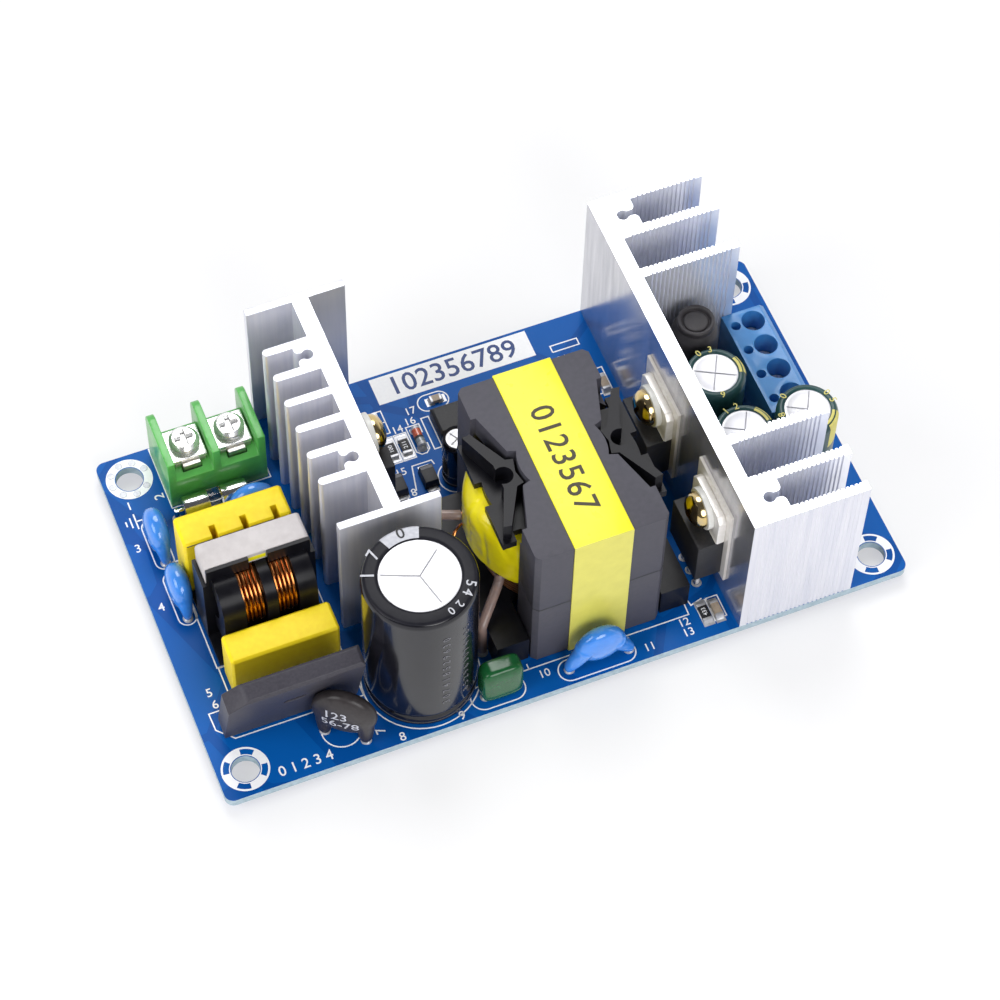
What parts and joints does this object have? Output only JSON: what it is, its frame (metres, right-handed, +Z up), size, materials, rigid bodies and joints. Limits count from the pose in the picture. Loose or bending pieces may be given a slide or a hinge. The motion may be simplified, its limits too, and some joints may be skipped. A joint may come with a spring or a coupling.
{
  "type": "switching power supply board",
  "caption": "Open switching power supply on a blue circuit board, with finned heatsinks, a taped transformer, capacitors and screw terminals at both ends.",
  "frame": {"origin": "centre of the four mounting holes, on the underside of the circuit board", "axes": "+X along the board from the mains terminal to the output terminal, +Y to the board's back edge, +Z up from the board to the parts on it"},
  "size_m": [0.116, 0.066, 0.0346],
  "materials": {
    "bare_aluminium": "extruded, bare",
    "black_coating": "dipped, matt",
    "black_epoxy": "moulded epoxy",
    "black_plastic": "moulded, semi gloss",
    "black_shrink": "shrunk sleeve, matt",
    "black_sleeve": "shrunk sleeve, glossy",
    "blue_coating": "dipped, glossy",
    "blue_plastic": "moulded, semi gloss",
    "board_mask": "glossy solder mask",
    "clear_glass": "clear",
    "dark_ferrite": "sintered ferrite",
    "enamelled_copper": "enamelled",
    "green_coating": "dipped, glossy",
    "green_plastic": "moulded, semi gloss",
    "grey_ferrite": "ground ferrite",
    "nickel_steel": "nickel plated",
    "red_glass": "glass body",
    "sleeved_wire": "sleeved wire",
    "solder": "bright solder",
    "steel_pins": "tinned steel",
    "tan_ceramic": "ceramic",
    "teal_sleeve": "shrunk sleeve, glossy",
    "tinned_metal": "tin plated",
    "white_insulator": "silicone sheet",
    "white_nylon": "moulded",
    "yellow_plastic": "moulded, semi gloss",
    "yellow_tape": "polyester tape",
    "yellow_zinc": "yellow zinc plated"
  },
  "bodies": {
    "board": {"ac_terminal_contacts": "tinned_metal", "ac_terminal_housing": "green_plastic", "bridge_rectifier": "black_epoxy", "bulk_capacitor": "black_sleeve", "ceramic_chips": "tan_ceramic", "chip_resistors": "black_epoxy", "choke_bobbin": "black_plastic", "choke_core": "grey_ferrite", "choke_windings": "enamelled_copper", "circuit_board": "board_mask", "controller_chip": "black_epoxy", "dc_terminal_cages": "tinned_metal", "dc_terminal_housing": "blue_plastic", "disc_capacitor_1": "blue_coating", "disc_capacitor_2": "blue_coating", "disc_capacitor_3": "blue_coating", "disc_capacitor_4": "blue_coating", "film_capacitor": "green_coating", "flying_leads": "sleeved_wire", "fuse_caps": "nickel_steel", "fuse_glass": "clear_glass", "glass_diode": "red_glass", "heatsink_pins": "steel_pins", "heatsink_screws": "yellow_zinc", "insulating_pads": "white_insulator", "left_heatsink": "bare_aluminium", "line_capacitor_front": "yellow_plastic", "line_capacitor_rear": "yellow_plastic", "output_capacitor_1": "teal_sleeve", "output_capacitor_2": "teal_sleeve", "output_capacitor_3": "teal_sleeve", "output_inductor": "black_shrink", "output_rectifier_1": "black_epoxy", "output_rectifier_2": "black_epoxy", "right_heatsink": "bare_aluminium", "shoulder_washers": "white_nylon", "solder_joints": "solder", "start_capacitor": "black_sleeve", "surface_diodes": "black_epoxy", "switch_transistor": "black_epoxy", "thermistor": "black_coating", "transformer_bobbin": "black_plastic", "transformer_core_lower": "dark_ferrite", "transformer_core_upper": "dark_ferrite", "transformer_pins": "tinned_metal", "transformer_tape": "yellow_tape", "transformer_winding": "yellow_tape"},
    "ac_screw_1": {"ac_screw_1": "nickel_steel", "ac_washer_1": "nickel_steel"},
    "ac_screw_2": {"ac_screw_2": "nickel_steel", "ac_washer_2": "nickel_steel"},
    "dc_screw_1": {"dc_screw_1": "nickel_steel"},
    "dc_screw_2": {"dc_screw_2": "nickel_steel"},
    "dc_screw_3": {"dc_screw_3": "nickel_steel"},
    "dc_screw_4": {"dc_screw_4": "nickel_steel"}
  },
  "joints": [
    {"name": "ac_screw_1_lift", "type": "slide", "parent": "board", "child": "ac_screw_1", "axis": [0, 0, 1], "range_m": [0, 0.003]},
    {"name": "ac_screw_2_lift", "type": "slide", "parent": "board", "child": "ac_screw_2", "axis": [0, 0, 1], "range_m": [0, 0.003]},
    {"name": "dc_screw_1_lift", "type": "slide", "parent": "board", "child": "dc_screw_1", "axis": [0, 0, 1], "range_m": [0, 0.002]},
    {"name": "dc_screw_2_lift", "type": "slide", "parent": "board", "child": "dc_screw_2", "axis": [0, 0, 1], "range_m": [0, 0.002]},
    {"name": "dc_screw_3_lift", "type": "slide", "parent": "board", "child": "dc_screw_3", "axis": [0, 0, 1], "range_m": [0, 0.002]},
    {"name": "dc_screw_4_lift", "type": "slide", "parent": "board", "child": "dc_screw_4", "axis": [0, 0, 1], "range_m": [0, 0.002]}
  ]
}
